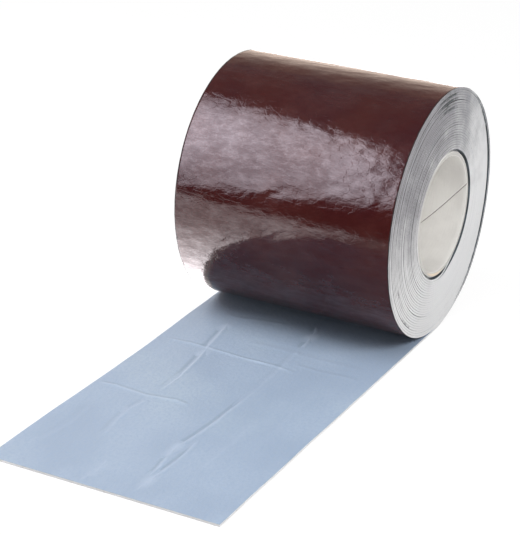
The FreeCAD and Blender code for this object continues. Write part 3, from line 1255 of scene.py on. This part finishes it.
@dataclass
class CoreTube:
    """The spiral-wound paperboard tube, with the seam of its inner ply as a groove."""

    bore: float
    outside: float
    low: float
    high: float
    seam_at: float = math.radians(13.9)
    seam_lead: float = -0.205
    groove: float = 0.28 * MM
    groove_half: float = 0.52 * MM
    around: int = 144
    along: int = 64
    corner: float = 0.8 * MM
    torn_at: float = -104.0
    torn_reach: float = 34.0

    def build(self, material: bpy.types.Material) -> bpy.types.Object:
        """Makes the piece.

        Args:
            material: The paperboard.

        Returns:
            The piece.
        """
        shape = bmesh.new()
        layer = shape.loops.layers.uv.new(STRIP_MAP)
        seam_layer = shape.verts.layers.float.new(SEAM)
        rim_layer = shape.verts.layers.float.new(RIM)
        section = self.section()
        turns = self.spread()
        columns, rows = len(section), len(turns)
        bmesh.ops.create_grid(shape, x_segments=rows, y_segments=columns, size=0.5)
        for face in shape.faces:
            for loop in face.loops:
                row = round((loop.vert.co.x + 0.5) * rows)
                column = round((loop.vert.co.y + 0.5) * columns)
                turn = 1.0 if row == rows else turns[row]
                x = section[column % columns][0]
                around = turn * 2.0 * math.pi * self.bore
                loop[layer].uv = (around, x)
        for vert in shape.verts:
            row = round((vert.co.x + 0.5) * rows) % rows
            column = round((vert.co.y + 0.5) * columns) % columns
            x, radius = section[column]
            angle = 2.0 * math.pi * turns[row] + self.seam_at
            angle += 2.0 * math.pi * (x - self.high) / -self.seam_lead
            inside = radius < self.bore + self.corner * 0.5
            from_seam = min(turns[row], 1.0 - turns[row]) * 2.0 * math.pi * self.bore
            near = smoothstep(self.groove_half * 1.2, 0.0, from_seam)
            if inside:
                radius += self.groove * near
                vert[seam_layer] = near
            end = x > self.high - 1e-6 or x < self.low + 1e-6
            arc = math.degrees(angle) - self.torn_at
            arc = abs((arc + 180.0) % 360.0 - 180.0)
            vert[rim_layer] = (0.3 + 0.7 * hump(0.0, self.torn_reach, arc)) if end else 0.0
            vert.co = Vector((x, radius * math.cos(angle), radius * math.sin(angle)))
        bmesh.ops.remove_doubles(shape, verts=shape.verts, dist=WELD)
        bmesh.ops.recalc_face_normals(shape, faces=shape.faces)
        piece = blank_mesh("core_tube", shape)
        smooth(piece, CORNER)
        piece.data.materials.append(material)
        return piece

    def section(self) -> list[Point]:
        """Lists the wall's outline.

        Returns:
            Places along the axis and radii, once round.
        """
        corner = self.corner
        inner = [
            (self.low + corner + (self.high - self.low - 2 * corner) * step / self.along, self.bore)
            for step in range(self.along + 1)
        ]
        outer = [(x, self.outside) for x, _ in reversed(inner)]
        wall = self.outside - self.bore
        right = [
            (self.high - 0.3 * corner, self.bore + 0.3 * corner),
            (self.high, self.bore + corner),
            (self.high, self.bore + wall * 0.5),
            (self.high, self.outside - corner),
            (self.high - 0.3 * corner, self.outside - 0.3 * corner),
        ]
        left = [(self.low + self.high - x, radius) for x, radius in reversed(right)]
        return inner + right + outer + left

    def spread(self) -> list[float]:
        """Lists where round the tube the mesh has a line, close together at the seam.

        Returns:
            Shares of a full turn from the seam.
        """
        edge = self.groove_half / (2.0 * math.pi * self.bore)
        near = [0.0, edge * 0.35, edge * 0.7, edge * 1.2]
        far = [1.0 - share for share in reversed(near[1:])]
        first, last = near[-1], far[0]
        plain = [first + (last - first) * step / self.around for step in range(1, self.around)]
        return near + plain + far


# ---------------------------------------------------------------- the studio


@dataclass(frozen=True)
class SoftBox:
    """A rectangular lamp.

    Attributes:
        name: Its name.
        place: Its middle, in metres.
        aim: The point it faces, in metres.
        size: Its width and height, in metres.
        radiance: How bright its face is, where 1 is white.
    """

    name: str
    place: Triple
    aim: Triple
    size: Point
    radiance: float

    def build(self) -> None:
        """Adds the lamp."""
        lamp = bpy.data.lights.new(self.name, "AREA")
        lamp.shape = "RECTANGLE"
        lamp.size, lamp.size_y = self.size
        lamp.energy = self.radiance * 4.0 * self.size[0] * self.size[1]
        holder = bpy.data.objects.new(self.name, lamp)
        holder.visible_camera = False
        holder.visible_glossy = False
        bpy.context.scene.collection.objects.link(holder)
        direction = Vector(self.aim) - Vector(self.place)
        turn = direction.to_track_quat("-Z", "Y").to_matrix().to_4x4()
        holder.matrix_world = Matrix.Translation(self.place) @ turn


@dataclass(frozen=True)
class Card:
    """A flat card, bright or black, that shows only in the object's gloss.

    Attributes:
        name: Its name.
        corners: Its outline, in metres.
        radiance: How bright it is in each colour, where 1 is white.
        focus: A point of it that is brighter.
        reach: How far from that point the brightening reaches, in metres.
        gain: How many times brighter it is there.
    """

    name: str
    corners: tuple[Triple, ...]
    radiance: Colour
    focus: Triple = (0.0, 0.0, 0.0)
    reach: float = 1.0
    gain: float = 1.0

    def build(self) -> None:
        """Adds the card to the stage."""
        shape = bmesh.new()
        rim = [shape.verts.new(corner) for corner in self.corners]
        bmesh.ops.contextual_create(shape, geom=rim)
        card = blank_mesh(self.name, shape)
        net = ShaderNet.named(self.name)
        strength = max(*self.radiance, 0.001)
        inputs = {0: net.place(), 1: self.focus}
        away = net.signal(net.node("ShaderNodeVectorMath", {"operation": "DISTANCE"}, inputs), 1)
        level = (1.0 + away.ramp(self.reach, 0.0) * (self.gain - 1.0)) * strength
        inputs = {"Color": tuple(v / strength for v in self.radiance), "Strength": level}
        glow = net.node("ShaderNodeEmission", {}, inputs)
        card.data.materials.append(net.show(glow.outputs[0]))
        card.visible_camera = False
        card.visible_shadow = False
        card.visible_diffuse = False
        card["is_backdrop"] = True


def key_outline() -> tuple[Triple, ...]:
    """Outlines the main soft box: it leans towards the roll and narrows to the right.

    Returns:
        Its corners, in metres.
    """
    steep = math.radians(43.0)
    middle = Vector((0.0, -math.cos(steep), math.sin(steep))) * 0.8
    up = Vector((0.0, math.sin(steep), math.cos(steep)))
    outline = (
        (-0.216, -0.06), (-0.226, 0.11), (-0.246, 0.25), (-0.300, 0.40), (-0.395, 0.495),
        (-0.460, 0.585), (-0.640, 0.80), (-0.640, -0.80), (-0.474, -0.66), (-0.332, -0.52),
        (-0.262, -0.44), (-0.226, -0.30),
    )
    return tuple(tuple(Vector((x, 0.0, 0.0)) + middle + up * v) for x, v in outline)


@dataclass
class Studio:
    """Floor, lamps, surroundings and camera."""

    floor_z: float
    camera_place: Triple = (0.50586, -1.09314, 0.45619)
    right: Triple = (0.8840182, 0.46656353, 0.02881481)
    down: Triple = (0.20616207, -0.33381665, -0.91981718)
    ahead: Triple = (-0.41953429, 0.81907565, -0.3912877)
    lens: float = 132.18
    floor_size: float = 14.0
    floor_glow: float = 1.06
    glow_share: float = 0.85
    sky: tuple[tuple[float, Colour], ...] = ((0.10, (0.80, 0.80, 0.80)), (0.60, (0.36, 0.36, 0.36)))
    lamps: tuple[SoftBox, ...] = (
        SoftBox("left_soft", (-0.58, -0.40, 0.80), (0.0, -0.10, -0.05), (0.54, 0.54), 5.9),
        SoftBox("end_fill", (0.62, -0.28, 0.52), (0.07, 0.0, -0.03), (0.42, 0.26), 8.7),
    )

    def build(self) -> None:
        """Adds everything that isn't the object."""
        self.add_floor()
        for item in (*self.cards(), *self.lamps):
            item.build()
        self.light_surroundings()
        self.add_camera()

    def cards(self) -> tuple[Card, ...]:
        """Lists the cards that the foil mirrors.

        Returns:
            The main soft box's face, a black flag under it, the lit floor on the left, and a
            dim wall behind.
        """
        floor = self.floor_z
        above = floor + 0.5 * MM
        flag = (
            (0.12, -0.27, floor), (-0.56, -0.82, floor), (-0.56, -0.82, floor + 0.004),
            (0.12, -0.27, floor + 0.35),
        )
        lit = (
            (-0.079, 1.2, above), (-0.079, -0.43, above), (-0.40, -0.69, above),
            (-1.6, -1.6, above), (-1.6, 1.2, above),
        )
        wall = ((-3.2, 1.6, floor), (1.6, 1.6, floor), (1.6, 1.9, 1.9), (-3.2, 1.9, 1.9))
        foot, far = (-0.082, -0.062, floor), (-0.85, 1.6, floor)
        return (
            Card("key_card", key_outline(), (5.9, 5.45, 6.08), (-0.45, -0.52, 0.62), 0.72, 1.8),
            Card("dark_flag", flag, (0.0, 0.0, 0.0)),
            Card("bounce_card", lit, (4.0, 3.7, 3.8), foot, 0.16, 3.0),
            Card("back_card", wall, (0.50, 0.41, 0.35), far, 1.5, 3.2),
        )

    def add_floor(self) -> None:
        """Adds a wide white floor that keeps the object's shadow."""
        shape = bmesh.new()
        bmesh.ops.create_grid(shape, x_segments=8, y_segments=8, size=self.floor_size)
        bmesh.ops.translate(shape, verts=shape.verts, vec=(0.0, 0.0, self.floor_z))
        floor = blank_mesh("studio_floor", shape)
        net = ShaderNet.named("studio_white")
        net.surface(Base_Color=(0.95, 0.95, 0.95), Roughness=0.9, Specular_IOR_Level=0.0)
        inputs = {"Color": (1.0, 1.0, 1.0), "Strength": self.floor_glow}
        glow = net.node("ShaderNodeEmission", {}, inputs)
        path = net.node("ShaderNodeLightPath", {}, {})
        seen = net.signal(path, "Is Camera Ray") + net.signal(path, "Is Glossy Ray")
        seen = (seen + net.signal(path, "Is Transmission Ray")).clamped()
        matt = net.tree.nodes["Principled BSDF"].outputs[0]
        inputs = {0: seen * self.glow_share, 1: matt, 2: glow.outputs[0]}
        blend = net.node("ShaderNodeMixShader", {}, inputs)
        floor.data.materials.append(net.show(blend.outputs[0]))
        floor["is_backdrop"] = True

    def light_surroundings(self) -> None:
        """Lights the room: pale at the horizon, dimmer overhead."""
        world = bpy.data.worlds.new("studio")
        bpy.context.scene.world = world
        net = ShaderNet(world)
        where = net.node("ShaderNodeTexCoord", {}, {}).outputs["Generated"]
        height = net.signal(net.node("ShaderNodeSeparateXYZ", {}, {0: where}), "Z")
        ramp = net.node("ShaderNodeValToRGB", {"stops": self.sky}, {0: height})
        net.feed(net.tree.nodes["Background"].inputs["Color"], ramp.outputs[0])

    def add_camera(self) -> None:
        """Adds the camera."""
        data = bpy.data.cameras.new("camera")
        data.lens = self.lens
        data.sensor_width = 36.0
        data.sensor_fit = "AUTO"
        data.clip_start, data.clip_end = 0.01, 60.0
        camera = bpy.data.objects.new("camera", data)
        bpy.context.scene.collection.objects.link(camera)
        columns = Matrix(
            (self.right, tuple(-v for v in self.down), tuple(-v for v in self.ahead))
        ).transposed()
        camera.matrix_world = Matrix.Translation(self.camera_place) @ columns.to_4x4()
        bpy.context.scene.camera = camera


# ---------------------------------------------------------------- putting it together


def dress(piece: bpy.types.Object, node: str) -> None:
    """Fixes a finished piece to the roll and reports it.

    Args:
        piece: The piece.
        node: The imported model's node that it stands for.
    """
    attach(piece, "root")
    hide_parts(node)
    LOG.info("%s: %d faces", piece.name, len(piece.data.polygons))


def main() -> None:
    """Builds the roll and the studio, and works out how large the roll came out."""
    logging.basicConfig(level=logging.INFO)
    view = bpy.context.scene.view_settings
    view.view_transform = "Standard"

    tape_low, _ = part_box("tape")
    core_low, core_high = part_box("core")
    film_low, film_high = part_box("release_film")
    record = frame["record"]
    bore = next(m for m in record["mounts"] if m["name"] == "core_bore")["dims"]["r_mm"] * MM

    winding = Winding(radius=-tape_low.z, core_radius=core_high.z, half_width=film_high.x)
    tail = OuterTurnAndTail(winding, -film_low.y, film_high.z - film_low.z)
    foil = FoilFinish(half_width=film_high.x).build()
    strip_finishes = (foil, CutEdgeFinish().build(), FilmBackFinish().build())
    dress(WoundTurns(winding).build(strip_finishes), "tape")
    dress(tail.build(strip_finishes), "tape")

    film = ReleaseFilmFinish().build()
    dress(ReleaseFilm(winding, tail).build((film, film, film)), "release_film")

    tube = CoreTube(bore, core_high.z, core_low.x, core_high.x)
    dress(tube.build(PaperboardFinish().build()), "core")

    Studio(floor_z=tape_low.z).build()

    boxes = {"cad": CAD_BOX, "visual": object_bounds()}
    plain = {name: [list(corner) for corner in box] for name, box in boxes.items()}


if __name__ == "__main__":
    main()
